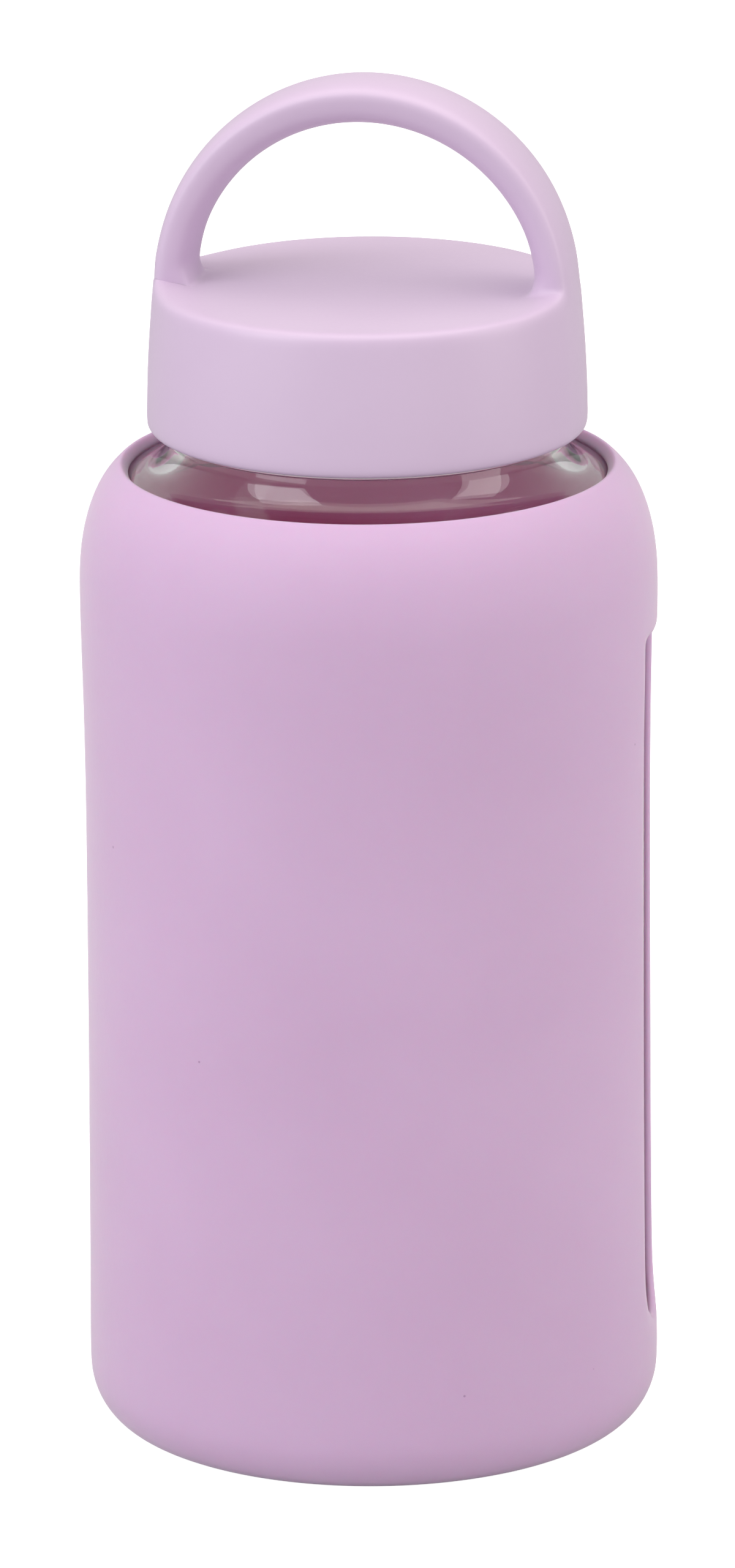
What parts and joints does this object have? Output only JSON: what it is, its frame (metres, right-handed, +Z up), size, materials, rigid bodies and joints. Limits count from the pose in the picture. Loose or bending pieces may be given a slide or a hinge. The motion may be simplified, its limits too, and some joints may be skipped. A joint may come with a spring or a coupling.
{
  "type": "glass water bottle",
  "caption": "Wide-mouth glass water bottle in a soft silicone sleeve with a level window, closed by a screw lid with an arched carry handle and a seal ring.",
  "frame": {"origin": "centre of the face that the bottle stands on", "axes": "+Z up along the bottle's axis, -Y towards the viewer, the sleeve's window faces +X"},
  "size_m": [0.0888, 0.0888, 0.2133],
  "materials": {
    "clear_glass": "clear polished",
    "sleeve_silicone": "matte lilac",
    "lid_plastic": "fine matte lavender",
    "liner_plastic": "satin",
    "seal_silicone": "matte translucent white"
  },
  "bodies": {
    "bottle": {"glass_bottle": "clear_glass", "silicone_sleeve": "sleeve_silicone"},
    "seal": {"seal_ring": "seal_silicone"},
    "lid": {"lid_shell": "lid_plastic", "lid_liner": "liner_plastic"}
  },
  "joints": [
    {"name": "lid_rise", "type": "slide", "parent": "bottle", "child": "seal", "axis": [0, 0, 1], "range_m": [0, 0.01693]},
    {"name": "lid_turn", "type": "hinge", "parent": "seal", "child": "lid", "pos_m": [0, 0, 0.16], "axis": [0, 0, 1], "range_deg": [0, 1440]}
  ],
  "couplings": [
    {"joint": "lid_rise", "follows": "lid_turn", "m_per_rad": 0.00067322}
  ]
}
